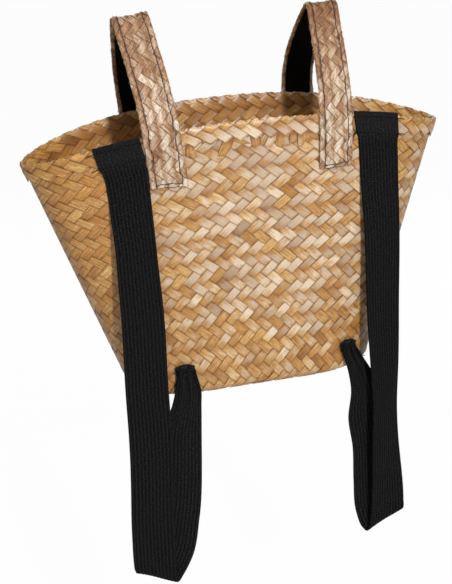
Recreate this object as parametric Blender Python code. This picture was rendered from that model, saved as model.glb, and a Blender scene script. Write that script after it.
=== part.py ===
"""Pack basket: a soft flat-strand basket with a wide flared mouth, two arched carry handles that
bridge the mouth from wall to wall, and two webbing shoulder straps on the front wall.

+X runs along the mouth, -Y is the front face with the straps, +Z is up. The origin lies midway
between the undersides of the two handle crowns, where a hand carries the basket."""

import math

import bpy
import numpy as np

for leftover in list(bpy.data.objects):
    bpy.data.objects.remove(leftover, do_unlink=True)

mm = 0.001

# Clearances between pieces that touch
seat_gap = 0.3 * mm
cut_gap = 0.6 * mm

# Basket body: the mouth is a blunt lens in plan, the base a rounded oblong
mouth_half_length = 200 * mm
mouth_half_depth = 58 * mm
mouth_side_power = 3.4
mouth_end_power = 1.9
base_half_length = 120 * mm
base_half_depth = 41 * mm
base_side_power = 4.2
base_end_power = 3.2
basket_height = 267 * mm
rim_droop = 30 * mm
rim_droop_power = 2.2
base_lift = 7 * mm
base_flat_share = 0.5
wall_thickness = 2.4 * mm
base_corner_radius = 9 * mm

# Folded hem round the rim
hem_thickness = 1.6 * mm
hem_drop = 18 * mm

# Carry handles: a black webbing lining inside a plaited straw strip
handle_offset_share = 0.405
handle_width = 31 * mm
handle_grip_height = 357 * mm
lining_thickness = 1.4 * mm
plait_thickness = 2.2 * mm
handle_tab_drop = 52 * mm
handle_pivot_rise = 27 * mm
handle_pinch_share = 0.68
handle_thread_radius = 0.45 * mm
handle_thread_inset = 4 * mm
handle_thread_foot = 5 * mm
layer_ramp = 8 * mm

# Shoulder straps: cotton webbing, sewn on at the rim and gathered to a knot above the base
strap_width = 40 * mm
strap_thickness = 2.5 * mm
strap_handle_clearance = 2 * mm
strap_top_length = 52 * mm
strap_top_inset = 0.8 * mm
strap_cut_gap = 1 * mm
strap_thread_radius = 0.45 * mm
strap_thread_drop_upper = 5 * mm
strap_thread_drop_lower = 20 * mm
strap_hang_settle = 26 * mm
strap_fold_radius = 6 * mm
fold_tilt = math.radians(10)
return_run_shares = ((0.18, 0.52), (0.66, 1.0))
anchor_width = 15 * mm
anchor_height = 14 * mm
anchor_thickness = 6 * mm
anchor_foot_height = 27 * mm
anchor_gather_length = 26 * mm
anchor_neck_length = 7 * mm
anchor_thread_radius = 0.6 * mm
anchor_thread_height = 9 * mm
loop_row_pitch = 9 * mm

# The two straps are set a little differently: how far each hangs below the base, where it hangs
# as a share of its offset at the rim, and where it is tied and comes back as shares of the base
left_strap_drop = 180 * mm
right_strap_drop = 158 * mm
hang_shares = {"left": 0.9536, "right": 1.0211}
anchor_shares = {"left": 0.5667, "right": 0.7167}
return_shares = {"left": 0.6667, "right": 0.8333}

# Places worked out from the sizes above
handle_offset = handle_offset_share * mouth_half_length
strap_top_offset = handle_offset + handle_width / 2 + strap_handle_clearance + strap_width / 2
strap_sides = {
    side: {
        "sign": sign,
        "drop": drop,
        "hang": hang_shares[side] * strap_top_offset,
        "anchor": anchor_shares[side] * base_half_length,
        "return": return_shares[side] * base_half_length,
    }
    for side, sign, drop in (("left", -1, left_strap_drop), ("right", 1, right_strap_drop))
}

# Mesh fineness, in counts
half_columns = 40
wall_rows = 8
corner_rows = 3
floor_rings = 3
strip_columns = 4
tab_rows = 12
arch_rows = 28
fold_steps = 4


def level(height):
    """Height above the underside of the base, as a z of the part."""
    return height - handle_grip_height


def material(name, colour, roughness):
    made = bpy.data.materials.new(name)
    made.use_nodes = True
    shader = made.node_tree.nodes["Principled BSDF"]
    shader.inputs["Base Color"].default_value = (*colour, 1)
    shader.inputs["Roughness"].default_value = roughness
    shader.inputs["Metallic"].default_value = 0
    return made


straw = material("straw_strand", (0.58, 0.40, 0.21), 0.6)
straw_plait = material("straw_plait", (0.66, 0.45, 0.30), 0.6)
webbing = material("cotton_webbing", (0.012, 0.013, 0.015), 0.9)
lining = material("webbing_lining", (0.008, 0.006, 0.005), 0.95)
thread = material("sewing_thread", (0.06, 0.03, 0.04), 0.8)


def finish(node, node_material):
    node.data.materials.append(node_material)
    bpy.context.scene.collection.objects.link(node)
    return node


def mesh_object(name, points, faces, node_material):
    """A named mesh with smooth round faces, sharp where it turns a corner."""
    mesh = bpy.data.meshes.new(name)
    mesh.from_pydata([tuple(map(float, point)) for point in points], [], faces)
    mesh.validate()
    mesh.shade_smooth()
    mesh.set_sharp_from_angle(angle=math.radians(35))
    return finish(bpy.data.objects.new(name, mesh), node_material)


def outward(points, faces):
    """The faces, turned over if they enclose their volume inside out."""
    points = np.asarray(points)
    volume = 0.0
    for face in faces:
        for second, third in zip(face[1:-1], face[2:]):
            volume += np.dot(points[face[0]], np.cross(points[second], points[third]))
    return faces if volume > 0 else [face[::-1] for face in faces]


def slab(name, inner, outer, node_material):
    """A closed sheet between two grids of points, rows by columns."""
    rows, columns = inner.shape[:2]
    points = np.concatenate([inner.reshape(-1, 3), outer.reshape(-1, 3)])
    layer = rows * columns
    faces = []
    for row in range(rows - 1):
        for column in range(columns - 1):
            corner = row * columns + column
            quad = [corner, corner + 1, corner + columns + 1, corner + columns]
            faces.append(quad)
            faces.append([layer + index for index in reversed(quad)])
    edge = [column for column in range(columns)]
    edge += [row * columns + columns - 1 for row in range(1, rows)]
    edge += [(rows - 1) * columns + column for column in range(columns - 2, -1, -1)]
    edge += [row * columns for row in range(rows - 2, 0, -1)]
    for first, second in zip(edge, edge[1:] + edge[:1]):
        faces.append([second, first, layer + first, layer + second])
    return mesh_object(name, points, outward(points, faces), node_material)


def thread_line(name, points, radius):
    """One row of stitching as a fine closed tube along its line."""
    curve = bpy.data.curves.new(name, "CURVE")
    curve.dimensions = "3D"
    curve.bevel_depth = radius
    curve.bevel_resolution = 1
    curve.use_fill_caps = True
    spline = curve.splines.new("POLY")
    spline.points.add(len(points) - 1)
    for spline_point, place in zip(spline.points, points):
        spline_point.co = (*map(float, place), 1)
    return finish(bpy.data.objects.new(name, curve), thread)


# Basket wall, as straight lines ruled from the base outline up to the mouth outline

outline_steps = 400


def outline(half_length, half_depth, side_power, end_power):
    """Quarter outline from mid-front (share 0) to the tip (share 1), by share of its length."""
    turn = np.linspace(math.pi / 2, 0, outline_steps)
    along = half_length * np.cos(turn) ** (2 / side_power)
    across = half_depth * np.sin(turn) ** (2 / end_power)
    run = np.concatenate([[0], np.cumsum(np.hypot(np.diff(along), np.diff(across)))])
    return run / run[-1], along, across


mouth_outline = outline(mouth_half_length, mouth_half_depth, mouth_side_power, mouth_end_power)
base_outline = outline(base_half_length, base_half_depth, base_side_power, base_end_power)


def on_outline(table, share):
    share = np.asarray(share, float)
    along = np.sign(share) * np.interp(np.abs(share), table[0], table[1])
    return along, np.interp(np.abs(share), table[0], table[2])


def rim_height(x):
    return basket_height - rim_droop * np.abs(x / mouth_half_length) ** rim_droop_power


def base_height(x):
    past_flat = np.abs(x / base_half_length) - base_flat_share
    return base_lift * (np.maximum(past_flat, 0) / (1 - base_flat_share)) ** 2


def wall_point(side, share, rise):
    """Outer face of the wall: side -1 front or +1 back, share -1 to 1 along it, rise 0 to 1."""
    base_x, base_y = on_outline(base_outline, share)
    mouth_x, mouth_y = on_outline(mouth_outline, share)
    top = rim_height(mouth_x) - hem_thickness - seat_gap
    x = base_x + (mouth_x - base_x) * rise
    y = base_y + (mouth_y - base_y) * rise
    z = base_height(base_x) + (top - base_height(base_x)) * rise
    return np.stack([x, side * y, level(z)], axis=-1)


bisection_steps = 40
probe = 0.5 * mm


def wall_at(side, x, z):
    """Point of the wall's outer face that has this x and z."""
    x, z = np.broadcast_arrays(np.asarray(x, float), np.asarray(z, float))
    low = np.full(x.shape, -1.0)
    high = np.full(x.shape, 1.0)
    for _ in range(bisection_steps):
        share = (low + high) / 2
        foot = wall_point(side, share, 0.0)
        head = wall_point(side, share, 1.0)
        rise = (z - foot[..., 2]) / (head[..., 2] - foot[..., 2])
        found = foot[..., 0] + (head[..., 0] - foot[..., 0]) * rise
        low = np.where(found < x, share, low)
        high = np.where(found < x, high, share)
    return foot + (head - foot) * rise[..., None]


def off_wall(side, x, z, stand_off):
    """Point that stands this far off the wall's outer face, square to it."""
    place = wall_at(side, x, z)
    sideways = wall_at(side, x + probe, z) - wall_at(side, x - probe, z)
    upward = wall_at(side, x, z + probe) - wall_at(side, x, z - probe)
    normal = np.cross(sideways, upward)
    normal /= np.linalg.norm(normal, axis=-1, keepdims=True)
    normal *= np.sign(normal[..., 1:2]) * side
    return place + normal * np.asarray(stand_off, float)[..., None]


def ring_shares():
    """Each column round the basket: (side, share), front left to right, then back again."""
    front = [(-1, share) for share in np.linspace(-1, 1, half_columns, endpoint=False)]
    back = [(1, share) for share in np.linspace(1, -1, half_columns, endpoint=False)]
    return front + back


def basket_body():
    """Wall and base in one sheet: rings from the base's middle out, round the corner and up."""
    rings = []
    for ring in range(1, floor_rings + 1):
        spread = ring / floor_rings
        rings.append(("floor", spread))
    rings += [("corner", step / corner_rows) for step in range(1, corner_rows)]
    rings += [("wall", step / wall_rows) for step in range(wall_rows + 1)]
    corner_rise = base_corner_radius / basket_height
    points = []
    for kind, amount in rings:
        for side, share in ring_shares():
            edge = wall_point(side, share, corner_rise)
            plan = np.array([edge[0], edge[1]])
            shrink = 1 - base_corner_radius / np.linalg.norm(plan)
            bottom = base_height(edge[0] * shrink)
            if kind == "floor":
                x, y = plan * shrink * amount
                points.append((x, y, level(base_height(x))))
            elif kind == "corner":
                angle = amount * math.pi / 2
                tuck = base_corner_radius * (1 - math.sin(angle))
                x, y = plan * (1 - tuck / np.linalg.norm(plan))
                rounded = (edge[2] - level(bottom)) * (1 - math.cos(angle))
                points.append((x, y, level(bottom) + rounded))
            else:
                points.append(wall_point(side, share, corner_rise + (1 - corner_rise) * amount))
    points.append((0.0, 0.0, level(0.0)))
    columns = 2 * half_columns
    faces = [[len(points) - 1, (i + 1) % columns, i] for i in range(columns)]
    for ring in range(len(rings) - 1):
        for column in range(columns):
            after = (column + 1) % columns
            low, high = ring * columns, (ring + 1) * columns
            faces.append([low + column, low + after, high + after, high + column])
    body = mesh_object("basket_body", points, faces, straw)
    skin = body.modifiers.new("wall", "SOLIDIFY")
    skin.thickness = wall_thickness
    skin.offset = -1
    skin.use_even_offset = True
    return body


def rim_hem():
    """Strand ends folded over the wall's top edge and down its outside, as one band."""
    folded = hem_thickness + seat_gap
    section = [
        (seat_gap, hem_drop),
        (folded, hem_drop),
        (folded, -folded + hem_thickness / 2),
        (folded - hem_thickness / 2, -folded),
        (-wall_thickness, -folded),
        (-wall_thickness, -seat_gap),
        (seat_gap, -seat_gap),
    ]
    columns = ring_shares()
    tops = np.array([wall_point(side, share, 1.0) for side, share in columns])
    feet = np.array([wall_point(side, share, 0.0) for side, share in columns])
    down = feet - tops
    down /= np.linalg.norm(down, axis=1, keepdims=True)
    along = np.roll(tops, -1, axis=0) - np.roll(tops, 1, axis=0)
    out = np.cross(along, -down)
    out /= np.linalg.norm(out, axis=1, keepdims=True)
    points = [
        top + out[index] * stand_off + down[index] * drop
        for index, top in enumerate(tops)
        for stand_off, drop in section
    ]
    size = len(section)
    faces = []
    for column in range(len(columns)):
        after = (column + 1) % len(columns)
        for corner in range(size):
            turn = (corner + 1) % size
            first, second = column * size, after * size
            faces.append([first + corner, second + corner, second + turn, first + turn])
    return mesh_object("rim_hem", points, outward(points, faces), straw)


basket_body()
rim_hem()


# Carry handles. Each is one strip in two layers; the arch leans about an axis along Y, so it is
# parted from the sewn tabs along an arc struck from that axis.

over_hem = hem_thickness + 2 * seat_gap
handle_rim = level(float(rim_height(handle_offset)))
pivot_height = handle_rim + handle_pivot_rise
arc_radius = handle_pivot_rise - seat_gap
tab_foot = handle_rim - handle_tab_drop


def layer_stand_off(x, z):
    """How far the innermost layer stands off the wall: over the hem above, flat on it below."""
    hem_foot = level(rim_height(x)) - hem_drop - 2 * hem_thickness
    ramp = np.clip((z - hem_foot) / layer_ramp + 1, 0, 1)
    return seat_gap + (over_hem - seat_gap) * ramp


def tab_layer(side, centre, low, high):
    """Grid of one face of a tab, between two stand-offs from the innermost layer."""
    across = np.linspace(-handle_width / 2, handle_width / 2, strip_columns + 1)
    top = pivot_height - np.sqrt((arc_radius + cut_gap) ** 2 - across**2)
    share = np.linspace(0, 1, tab_rows)[:, None]
    z = tab_foot + (top - tab_foot) * share
    x = centre + across + 0 * z
    base = layer_stand_off(x, z)
    return off_wall(side, x, z, base + low), off_wall(side, x, z, base + high)


arch_foot = pivot_height - arc_radius


def arch_line(centre, across, turn, stand_off):
    """Point of the arch: turn 0 at the front foot, pi at the back. Its legs lean in to the crown."""
    half_span = abs(float(wall_at(-1, centre, arch_foot)[1])) + over_hem
    rise = -arch_foot
    pinch = handle_pinch_share * np.sin(turn) ** 2
    y = -half_span * np.cos(turn) * (1 - pinch)
    z = arch_foot + rise * np.sin(turn)
    normal_y = -rise * np.cos(turn)
    normal_z = half_span * np.sin(turn) * (1 - pinch + 2 * handle_pinch_share * np.cos(turn) ** 2)
    length = np.hypot(normal_y, normal_z)
    side = np.sign(y)
    lean_in = wall_at(1, centre + across, arch_foot)[..., 1] - wall_at(1, centre, arch_foot)[..., 1]
    y = y + side * lean_in * (1 - np.sin(turn))
    x = centre + across + 0 * turn
    return np.stack([x, y + stand_off * normal_y / length, z + stand_off * normal_z / length], axis=-1)


def arch_layer(centre, low, high):
    across = np.linspace(-handle_width / 2, handle_width / 2, strip_columns + 1)[None, :]
    foot = pivot_height - np.sqrt(arc_radius**2 - across**2)
    start = np.arcsin((foot - arch_foot) / -arch_foot)
    share = np.linspace(0, 1, arch_rows + 1)[:, None]
    turn = start + (math.pi - 2 * start) * share
    across = across + 0 * turn
    return arch_line(centre, across, turn, low), arch_line(centre, across, turn, high)


def arch_thread(name, centre, across):
    foot = pivot_height - math.sqrt(arc_radius**2 - across**2)
    start = math.asin((foot - arch_foot) / -arch_foot)
    turn = np.linspace(start, math.pi - start, 2 * arch_rows + 1)
    stand_off = plait_outer + seat_gap + handle_thread_radius
    return thread_line(name, arch_line(centre, across + 0 * turn, turn, stand_off), handle_thread_radius)


def tab_thread(name, side, centre):
    """Down one edge of the tab, across its foot and up the other edge."""
    reach = handle_width / 2 - handle_thread_inset
    top = pivot_height - math.sqrt((arc_radius + cut_gap) ** 2 - reach**2) - seat_gap
    low = tab_foot + handle_thread_foot
    down = np.linspace(top, low, 2 * tab_rows)
    foot = np.linspace(-reach, reach, 2 * strip_columns + 1)[1:-1]
    x = np.concatenate([-reach + 0 * down, foot, reach + 0 * down])
    z = np.concatenate([down, low + 0 * foot, down[::-1]])
    stand_off = layer_stand_off(centre + x, z) + plait_outer + seat_gap + handle_thread_radius
    return thread_line(name, off_wall(side, centre + x, z, stand_off), handle_thread_radius)


plait_inner = lining_thickness + seat_gap
plait_outer = plait_inner + plait_thickness


def carry_handle(which, centre):
    """Arch, two sewn tabs and their stitching. The arch hangs on an empty at its lean axis."""
    axis = bpy.data.objects.new(f"{which}_handle_axis", None)
    axis.location = (centre, 0, pivot_height)
    bpy.context.scene.collection.objects.link(axis)
    edge = handle_width / 2 - handle_thread_inset
    arch = [
        slab(f"{which}_handle_lining", *arch_layer(centre, 0.0, lining_thickness), lining),
        slab(f"{which}_handle_plait", *arch_layer(centre, plait_inner, plait_outer), straw_plait),
        arch_thread(f"{which}_handle_thread_a", centre, -edge),
        arch_thread(f"{which}_handle_thread_b", centre, edge),
    ]
    for piece in arch:
        piece.parent = axis
        piece.location = (-centre, 0, -pivot_height)
    for face, side in (("front", -1), ("back", 1)):
        name = f"{which}_handle_{face}"
        slab(f"{name}_lining_tab", *tab_layer(side, centre, 0.0, lining_thickness), lining)
        slab(f"{name}_plait_tab", *tab_layer(side, centre, plait_inner, plait_outer), straw_plait)
        tab_thread(f"{name}_tab_thread", side, centre)


carry_handle("left", -handle_offset)
carry_handle("right", handle_offset)


# Shoulder straps, on the front wall. The loop swings about a line from its inner top edge to the
# inner edge of its gathered end, and is cut square to that line at both ends.

strap_rim = level(float(rim_height(strap_top_offset)))


def swing_axis(spec):
    """Two points of the line that a strap loop swings about, in the left strap's mirrored frame."""
    inner = strap_top_offset - strap_width / 2
    top_z = strap_rim - strap_top_length
    stand_off = seat_gap + strap_thickness / 2
    top = off_wall(-1, inner, top_z, stand_off)
    low_inner = spec["anchor"] - anchor_width / 2
    low = off_wall(-1, low_inner, level(anchor_foot_height), seat_gap + anchor_thickness / 2)
    return np.asarray(top), np.asarray(low)


def mirrored(spec, points):
    return np.asarray(points) * np.array([spec["sign"], 1, 1])


def strap_top(which, spec):
    """Webbing end sewn flat over the hem; its lower edge is the cut above the loop."""
    top, low = swing_axis(spec)
    slope = (top[0] - low[0]) / (top[2] - low[2])
    across = np.linspace(-strap_width / 2, strap_width / 2, strip_columns + 1)
    head = rim_height(strap_top_offset + across)
    head = level(head) - strap_top_inset
    foot = top[2] - slope * (across + strap_width / 2) + strap_cut_gap
    share = np.linspace(0, 1, tab_rows)[:, None]
    z = foot + (head - foot) * share
    x = strap_top_offset + across + 0 * z
    base = layer_stand_off(x, z)
    inner = mirrored(spec, off_wall(-1, x, z, base))
    outer = mirrored(spec, off_wall(-1, x, z, base + strap_thickness))
    slab(f"{which}_strap_top", inner, outer, webbing)
    reach = strap_width / 2 - 3 * strap_thread_radius
    row = np.linspace(-reach, reach, 4 * strip_columns + 1)
    for name, drop in (("upper", strap_thread_drop_upper), ("lower", strap_thread_drop_lower)):
        x = strap_top_offset + row
        z = level(rim_height(x)) - drop
        stand_off = layer_stand_off(x, z) + strap_thickness + seat_gap + strap_thread_radius
        line = off_wall(-1, x, z, stand_off)
        thread_line(f"{which}_strap_{name}_thread", mirrored(spec, line), strap_thread_radius)


def smooth_path(knots, pitch):
    """Points about one pitch apart on a smooth curve through the knots."""
    knots = np.asarray(knots, float)
    steps = np.linalg.norm(np.diff(knots[:, :3], axis=0), axis=1)[:, None]
    slopes = np.diff(knots, axis=0) / steps
    inner = (slopes[:-1] * steps[1:] + slopes[1:] * steps[:-1]) / (steps[:-1] + steps[1:])
    tangents = np.concatenate([slopes[:1], inner, slopes[-1:]])
    path = []
    for index, step in enumerate(steps):
        count = max(2, round(float(step[0] / pitch)))
        for t in np.linspace(0, 1, count, endpoint=False):
            ease = t * t * (3 - 2 * t)
            leaving = t * (1 - t) ** 2 * step
            arriving = t * t * (t - 1) * step
            straight = knots[index] + (knots[index + 1] - knots[index]) * ease
            path.append(straight + leaving * tangents[index] + arriving * tangents[index + 1])
    path.append(knots[-1])
    return np.array(path)


def loop_knots(spec, bow):
    """Middle line of the loop with its width and thickness: x, y, z, width, thickness."""
    top, low = swing_axis(spec)
    wide = [strap_width, strap_thickness]
    hang, back = spec["hang"], spec["return"]
    front_y = top[1] - bow
    back_y = front_y + 2 * strap_fold_radius
    along = (top - low) / np.linalg.norm(top - low)
    cut = np.array([along[2], 0, -along[0]])
    head = top + cut * strap_width / 2
    below = head - along * strap_hang_settle / 2
    settled = head[2] - 3 / 2 * strap_hang_settle
    knots = [
        [head[0], top[1], head[2], *wide],
        [below[0], top[1] - bow / 8, below[2], *wide],
        [hang, top[1] - bow / 2, settled, *wide],
        [hang, front_y, (settled + level(0.0)) / 2, *wide],
        [hang, front_y, level(0.0), *wide],
        [hang, front_y, level(-spec["drop"] / 2), *wide],
    ]
    # The fold turns the strap about a line that tilts down towards the middle of the basket.
    middle = np.array([hang, front_y + strap_fold_radius, level(strap_fold_radius - spec["drop"])])
    fold = np.array([-math.cos(fold_tilt), 0, -math.sin(fold_tilt)])
    upright = np.array([-math.sin(fold_tilt), 0, math.cos(fold_tilt)])
    for step in range(fold_steps + 1):
        turn = math.pi * step / fold_steps
        advance = strap_fold_radius * turn * math.tan(fold_tilt)
        place = middle + fold * advance - upright * strap_fold_radius * math.sin(turn)
        place[1] -= strap_fold_radius * math.cos(turn)
        knots.append([*place, *wide])
    # The gathered end keeps its inner edge on the swing axis, so it clears the wall as it swings.
    gathered_width = strap_width * 3 / 4
    end = low + cut * anchor_width / 2
    gather = low + cut * gathered_width / 2 - along * anchor_gather_length
    for rise_share, back_share in return_run_shares:
        x = hang + (back - hang) * back_share
        knots.append([x, back_y, level(-spec["drop"] * (1 - rise_share)), *wide])
    gathered = [gathered_width, strap_thickness * 3 / 2]
    tied = [anchor_width, anchor_thickness * 2 / 3]
    knots.append([gather[0], (gather[1] + back_y) / 2, gather[2], *gathered])
    knots.append([*(end - along * anchor_neck_length), *tied])
    knots.append([*end, *tied])
    return knots


def hang_offset(spec, bow):
    """How far the loop's weight lies behind the upright plane through its swing axis."""
    top, low = swing_axis(spec)
    path = smooth_path(loop_knots(spec, bow), loop_row_pitch)
    middle = (path[1:] + path[:-1]) / 2
    weight = np.linalg.norm(np.diff(path[:, :3], axis=0), axis=1) * middle[:, 3] * middle[:, 4]
    centre = (middle[:, :2] * weight[:, None]).sum(axis=0) / weight.sum()
    along, reach = low[:2] - top[:2], centre - top[:2]
    return (along[0] * reach[1] - along[1] * reach[0]) / np.linalg.norm(along)


def hanging_bow(spec):
    """Forward bow of the loop that puts its weight in that plane, where it comes to rest."""
    flat = hang_offset(spec, 0.0)
    bowed = hang_offset(spec, strap_fold_radius)
    return strap_fold_radius * flat / (flat - bowed)


def loop_grids(spec):
    """Both faces of the loop, mirrored frame."""
    top, low = swing_axis(spec)
    path = smooth_path(loop_knots(spec, hanging_bow(spec)), loop_row_pitch)
    line, width, thickness = path[:, :3], path[:, 3], path[:, 4]
    tangent = np.gradient(line, axis=0)
    tangent /= np.linalg.norm(tangent, axis=1, keepdims=True)
    outward_x = np.array([1.0, 0, 0])
    wide = outward_x - tangent * tangent[:, :1]
    wide /= np.linalg.norm(wide, axis=1, keepdims=True)
    face = np.cross(wide, tangent)
    across = np.linspace(-0.5, 0.5, strip_columns + 1)[None, :, None]
    reach = across * width[:, None, None]
    grid = line[:, None, :] + reach * wide[:, None, :]
    # The first rows follow the wall's curve, which fades out as the strap hangs free.
    fade = np.clip(1 - (line[0, 2] - line[:, 2]) / strap_hang_settle, 0, 1)
    fade[len(fade) // 2 :] = 0
    curve = wall_at(-1, grid[0, :, 0], grid[0, :, 2])[:, 1]
    grid[:, :, 1] += fade[:, None] * (curve - curve[0])[None, :]
    half = thickness[:, None, None] / 2 * face[:, None, :]
    return grid - half, grid + half


def strap_loop(which, spec):
    low_face, high_face = loop_grids(spec)
    loop = slab(f"{which}_strap_loop", mirrored(spec, low_face), mirrored(spec, high_face), webbing)
    top, _ = swing_axis(spec)
    axis = bpy.data.objects.new(f"{which}_strap_axis", None)
    axis.location = mirrored(spec, top)
    bpy.context.scene.collection.objects.link(axis)
    loop.parent = axis
    loop.location = -axis.location


def strap_anchor(which, spec):
    """Folded end of the webbing, sewn to the wall above the base, with its thread over it."""
    across = np.linspace(-anchor_width / 2, anchor_width / 2, strip_columns + 1)
    share = np.linspace(0, 1, tab_rows // 2)[:, None]
    top, low = swing_axis(spec)
    slope = (top[0] - low[0]) / (top[2] - low[2])
    foot = level(anchor_foot_height) + strap_cut_gap - slope * (across + anchor_width / 2)
    z = foot + anchor_height * share
    x = spec["anchor"] + across + 0 * z
    crown = np.cos(math.pi / 2 * np.clip(np.abs(across) / (anchor_width / 2), 0, 1)) ** 0.5
    thick = anchor_thickness * (1 + 2 * crown) / 3 * (1 - share / 3)
    inner = off_wall(-1, x, z, seat_gap + 0 * z)
    outer = off_wall(-1, x, z, seat_gap + thick)
    slab(f"{which}_strap_anchor", mirrored(spec, inner), mirrored(spec, outer), webbing)
    clear = seat_gap + anchor_thread_radius
    span = anchor_width / 2 + clear
    height = level(anchor_foot_height) + anchor_thread_height
    steps = np.linspace(-1, 1, 4 * strip_columns + 1)
    crown = np.cos(math.pi / 2 * np.clip(np.abs(steps), 0, 1)) ** 0.5
    lift = anchor_thickness * (1 + 2 * crown) / 3 + seat_gap
    lift = np.concatenate([[0], lift, [0]]) + clear
    reach = np.concatenate([[-span], steps * span, [span]])
    line = off_wall(-1, spec["anchor"] + reach, height + 0 * reach, lift)
    thread_line(f"{which}_strap_anchor_thread", mirrored(spec, line), anchor_thread_radius)


for which, spec in strap_sides.items():
    strap_top(which, spec)
    strap_loop(which, spec)
    strap_anchor(which, spec)
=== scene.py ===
import math

import bpy
import numpy as np
from mathutils import Matrix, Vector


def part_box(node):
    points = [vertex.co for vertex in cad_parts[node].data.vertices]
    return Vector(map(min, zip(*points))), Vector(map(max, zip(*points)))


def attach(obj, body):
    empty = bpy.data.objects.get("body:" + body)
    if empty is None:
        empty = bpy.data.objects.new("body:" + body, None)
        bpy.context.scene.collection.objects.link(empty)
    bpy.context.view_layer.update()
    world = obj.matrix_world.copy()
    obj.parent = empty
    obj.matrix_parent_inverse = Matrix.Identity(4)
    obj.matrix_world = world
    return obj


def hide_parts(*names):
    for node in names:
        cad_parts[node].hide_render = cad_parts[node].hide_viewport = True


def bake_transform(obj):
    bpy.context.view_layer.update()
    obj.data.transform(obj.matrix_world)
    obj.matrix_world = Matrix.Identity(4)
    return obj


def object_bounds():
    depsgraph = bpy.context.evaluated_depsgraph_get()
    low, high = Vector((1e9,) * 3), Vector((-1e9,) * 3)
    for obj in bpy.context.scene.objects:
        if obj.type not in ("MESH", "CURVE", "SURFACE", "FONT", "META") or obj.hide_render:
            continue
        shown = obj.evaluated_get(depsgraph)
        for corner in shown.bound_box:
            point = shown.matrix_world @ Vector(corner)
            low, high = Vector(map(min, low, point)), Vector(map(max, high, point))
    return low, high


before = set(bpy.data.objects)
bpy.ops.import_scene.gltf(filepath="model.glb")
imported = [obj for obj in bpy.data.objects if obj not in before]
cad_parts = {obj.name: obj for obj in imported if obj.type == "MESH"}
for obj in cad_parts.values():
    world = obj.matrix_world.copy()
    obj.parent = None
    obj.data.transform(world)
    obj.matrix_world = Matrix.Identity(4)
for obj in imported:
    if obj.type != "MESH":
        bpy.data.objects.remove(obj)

cad_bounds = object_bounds()
mm = 0.001

# The studio is a white room in which the basket is held up by its handles, with a pale floor well
# below the straps. A small bright lamp stands in front and above, a broad one hangs over the
# basket, and two weaker ones fill the shade on the left and behind.


def linear(code):
    """An sRGB hex colour as the linear RGBA that a shader takes."""
    parts = [int(code[place : place + 2], 16) / 255 for place in (1, 3, 5)]
    parts = [part / 12.92 if part <= 0.04045 else ((part + 0.055) / 1.055) ** 2.4 for part in parts]
    return (*parts, 1.0)


def node(tree, kind, inputs=None, **settings):
    """Adds a shader node, sets its properties, and fills or links its inputs."""
    made = tree.nodes.new("ShaderNode" + kind)
    for name, value in settings.items():
        setattr(made, name, value)
    for name, value in (inputs or {}).items():
        if isinstance(value, bpy.types.NodeSocket):
            tree.links.new(value, made.inputs[name])
        else:
            made.inputs[name].default_value = value
    return made


def maths(tree, operation, *values, **settings):
    """One sum on up to three values or links."""
    return node(tree, "Math", dict(enumerate(values)), operation=operation, **settings).outputs[0]


def ranged(tree, value, low, high, to_low=0.0, to_high=1.0):
    """A value stretched from one range to another, and held inside it."""
    ends = {"From Min": low, "From Max": high, "To Min": to_low, "To Max": to_high}
    return node(tree, "MapRange", {"Value": value, **ends}).outputs["Result"]


def material(name, **sockets):
    """A new Principled material with its constants set on the shader's own sockets."""
    made = bpy.data.materials.new(name)
    made.use_nodes = True
    shader = made.node_tree.nodes["Principled BSDF"]
    for socket, value in sockets.items():
        shader.inputs[socket.replace("_", " ")].default_value = value
    return made, made.node_tree, shader


floor_level = cad_bounds[0][2] - 240 * mm
floor_size = 14
floor_glow = 0.97
world_strength = 0.17

bpy.ops.object.select_all(action="DESELECT")
bpy.ops.mesh.primitive_plane_add(size=floor_size, location=(0, 0, floor_level))
floor = bpy.context.object
floor.name = "studio_floor"
paper, tree, shader = material("matte_backdrop_paper", Roughness=0.9, Base_Color=linear("#f4f3f1"))
seen = node(tree, "LightPath").outputs
glow = node(tree, "Emission", {"Color": linear("#ffffff"), "Strength": 1.0}).outputs[0]
veil = maths(tree, "MULTIPLY", seen["Is Camera Ray"], floor_glow)
veiled = node(tree, "MixShader", {0: veil, 1: shader.outputs[0], 2: glow}).outputs[0]
tree.links.new(veiled, tree.nodes["Material Output"].inputs["Surface"])
floor.data.materials.append(paper)

world = bpy.data.worlds.new("white_studio")
bpy.context.scene.world = world
world.use_nodes = True
sky = world.node_tree
seen = node(sky, "LightPath").outputs
plain = maths(sky, "MAXIMUM", seen["Is Camera Ray"], seen["Is Glossy Ray"])
plain = maths(sky, "MAXIMUM", plain, seen["Is Transmission Ray"])
backdrop = sky.nodes["Background"]
backdrop.inputs["Color"].default_value = linear("#ffffff")
sky.links.new(ranged(sky, plain, 0.0, 1.0, world_strength, 1.0), backdrop.inputs["Strength"])


def soft_lamp(name, place, aim, size, watts):
    """A round softbox of this size in metres, turned to face its aim."""
    lamp = bpy.data.lights.new(name, "AREA")
    lamp.shape = "DISK"
    lamp.size = size
    lamp.energy = watts
    stand = bpy.data.objects.new(name, lamp)
    bpy.context.scene.collection.objects.link(stand)
    towards = np.array(aim) - np.array(place)
    stand.location = place
    stand.rotation_euler = (
        math.atan2(math.hypot(towards[0], towards[1]), -towards[2]),
        0,
        math.atan2(-towards[0], towards[1]),
    )


basket_middle = (0, 0, -0.25)
soft_lamp("key_softbox", (0.12, -2.2, 0.71), basket_middle, 0.16, 45)
soft_lamp("fill_softbox", (-1.9, -1.4, 0.3), basket_middle, 1.4, 2)
soft_lamp("top_softbox", (-0.1, -0.8, 1.75), (0, 0.05, -0.1), 0.9, 14)
soft_lamp("back_softbox", (0.5, 2.0, 0.3), basket_middle, 1.2, 15)

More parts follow.
